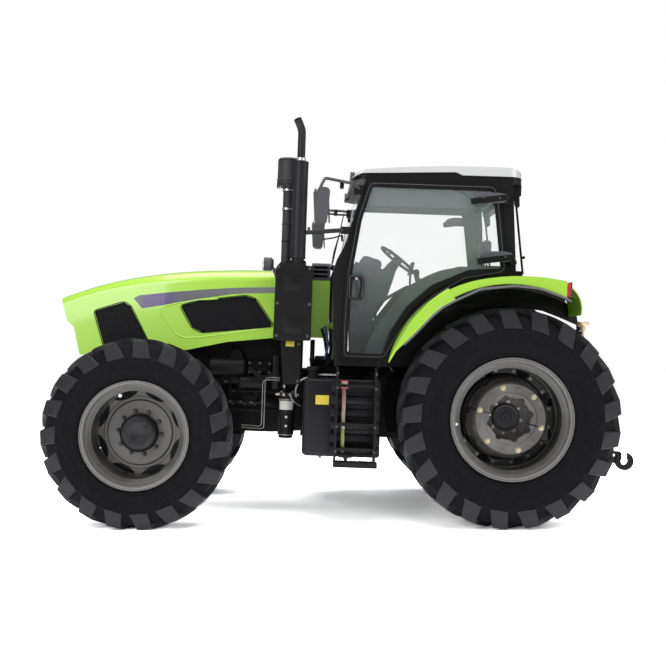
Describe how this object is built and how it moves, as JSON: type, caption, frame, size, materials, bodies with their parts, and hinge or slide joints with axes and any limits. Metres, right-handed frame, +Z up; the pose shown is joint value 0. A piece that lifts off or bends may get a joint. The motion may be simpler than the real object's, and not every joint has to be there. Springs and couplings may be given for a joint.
{
  "type": "farm tractor",
  "caption": "Four-wheel-drive farm tractor with a glazed cab, opening hood and doors, steered front wheels and a rear linkage.",
  "frame": {"origin": "middle of the overall length and width, on the ground under the tyres", "axes": "+X forward, +Y to the driver's left, +Z up"},
  "size_m": [5.1395, 2.4028, 3.4831],
  "materials": {
    "lime_paint": "gloss enamel",
    "pale_paint": "gloss, roof cap",
    "rim_paint": "satin grey",
    "black_paint": "satin black",
    "cast_grey": "painted casting",
    "tyre": "matte",
    "rubber": "matte",
    "black_plastic": "moulded",
    "lamp_lens": "clear",
    "red_lens": "clear red",
    "steel": "zinc plated",
    "glass": "tinted",
    "seat_fabric": "woven"
  },
  "bodies": {
    "chassis": {"air_precleaner": "black_plastic", "battery_box": "black_plastic", "cab_floor": "black_paint", "cab_frame": "black_paint", "cab_roof": "pale_paint", "cab_steps": "black_paint", "cowl": "lime_paint", "cowl_louvres": "black_plastic", "dash_console": "black_plastic", "drawbar": "black_paint", "engine_block": "black_paint", "exhaust_guard": "black_paint", "exhaust_stack": "black_paint", "fender_left": "lime_paint", "fender_lips": "rubber", "fender_right": "lime_paint", "front_axle": "black_paint", "front_frame": "black_paint", "fuel_filter": "steel", "fuel_tank": "black_plastic", "mirrors": "black_plastic", "pto_shaft": "steel", "radiator_pack": "black_paint", "rear_window": "glass", "roof_trim": "black_plastic", "seat_backrest": "seat_fabric", "seat_base": "black_plastic", "seat_cushion": "seat_fabric", "side_consoles": "black_plastic", "tail_lamps": "red_lens", "transmission": "black_paint", "windscreen": "glass", "work_lamp": "black_plastic"},
    "rear_wheel_left": {"rear_tyre_left": "tyre", "rear_wheel_left": "rim_paint", "wheel_weight_left": "cast_grey"},
    "rear_wheel_right": {"rear_tyre_right": "tyre", "rear_wheel_right": "rim_paint", "wheel_weight_right": "cast_grey"},
    "front_wheel_left": {"front_tyre_left": "tyre", "front_wheel_left": "rim_paint"},
    "front_wheel_right": {"front_tyre_right": "tyre", "front_wheel_right": "rim_paint"},
    "knuckle_left": {"knuckle_left": "black_paint"},
    "knuckle_right": {"knuckle_right": "black_paint"},
    "tie_rod": {"tie_rod": "steel"},
    "hood": {"hood": "lime_paint", "hood_grilles": "black_plastic", "headlamps": "lamp_lens"},
    "door_left": {"door_left": "black_paint", "door_glass_left": "glass"},
    "door_right": {"door_right": "black_paint", "door_glass_right": "glass"},
    "steering_wheel": {"steering_wheel": "black_plastic"},
    "lower_links": {"lower_links": "black_paint"},
    "lift_arms": {"lift_arms": "black_paint"},
    "lift_rods": {"lift_rods": "black_paint"},
    "top_link": {"top_link": "black_paint"}
  },
  "joints": [
    {"name": "spin_rear_left", "type": "hinge", "parent": "chassis", "child": "rear_wheel_left", "pos_m": [-1.34, 0.936, 0.91], "axis": [0, 1, 0], "continuous": true},
    {"name": "spin_rear_right", "type": "hinge", "parent": "chassis", "child": "rear_wheel_right", "pos_m": [-1.34, -0.936, 0.91], "axis": [0, 1, 0], "continuous": true},
    {"name": "steer_left", "type": "hinge", "parent": "chassis", "child": "knuckle_left", "pos_m": [1.755, 0.65, 0.78], "axis": [-0.0349, 0, 0.9994], "range_deg": [-35, 35]},
    {"name": "steer_right", "type": "hinge", "parent": "chassis", "child": "knuckle_right", "pos_m": [1.755, -0.65, 0.78], "axis": [-0.0349, 0, 0.9994], "range_deg": [-35, 35]},
    {"name": "spin_front_left", "type": "hinge", "parent": "knuckle_left", "child": "front_wheel_left", "pos_m": [1.755, 0.985, 0.78], "axis": [0, 1, 0], "continuous": true},
    {"name": "spin_front_right", "type": "hinge", "parent": "knuckle_right", "child": "front_wheel_right", "pos_m": [1.755, -0.985, 0.78], "axis": [0, 1, 0], "continuous": true},
    {"name": "tie_rod_end", "type": "hinge", "parent": "knuckle_left", "child": "tie_rod", "pos_m": [1.55722, 0.65, 0.71306], "axis": [-0.0349, 0, 0.9994], "range_deg": [-35, 35]},
    {"name": "hood_hinge", "type": "hinge", "parent": "chassis", "child": "hood", "pos_m": [0.50991, 0, 2.14832], "axis": [0, -1, 0], "range_deg": [0, 45]},
    {"name": "door_left_hinge", "type": "hinge", "parent": "chassis", "child": "door_left", "pos_m": [-1.40628, 0.845, 2.26351], "axis": [0.1063, 0, 0.9943], "range_deg": [0, 65]},
    {"name": "door_right_hinge", "type": "hinge", "parent": "chassis", "child": "door_right", "pos_m": [-1.40628, -0.845, 2.26351], "axis": [-0.1063, 0, -0.9943], "range_deg": [0, 65]},
    {"name": "steering_column", "type": "hinge", "parent": "chassis", "child": "steering_wheel", "pos_m": [-0.50838, 0, 2.31088], "axis": [-0.628, 0, 0.7782], "range_deg": [-700, 700]},
    {"name": "linkage_lift", "type": "hinge", "parent": "chassis", "child": "lower_links", "pos_m": [-1.40843, 0, 0.57741], "axis": [0, 1, 0], "range_deg": [-8, 28]},
    {"name": "arm_lift", "type": "hinge", "parent": "chassis", "child": "lift_arms", "pos_m": [-1.43147, 0, 1.23701], "axis": [0, 1, 0], "range_deg": [-8, 28]},
    {"name": "rod_swing", "type": "hinge", "parent": "lift_arms", "child": "lift_rods", "pos_m": [-1.86121, 0, 1.222], "axis": [0, 1, 0], "range_deg": [-28, 8]},
    {"name": "top_link_pivot", "type": "hinge", "parent": "chassis", "child": "top_link", "pos_m": [-1.75464, 0, 1.03561], "axis": [0, 1, 0], "range_deg": [-50, 10]}
  ],
  "couplings": [
    {"joint": "steer_right", "follows": "steer_left", "ratio": 1},
    {"joint": "tie_rod_end", "follows": "steer_left", "ratio": -1},
    {"joint": "steering_column", "follows": "steer_left", "ratio": 20},
    {"joint": "arm_lift", "follows": "linkage_lift", "ratio": 1},
    {"joint": "rod_swing", "follows": "linkage_lift", "ratio": -1}
  ]
}
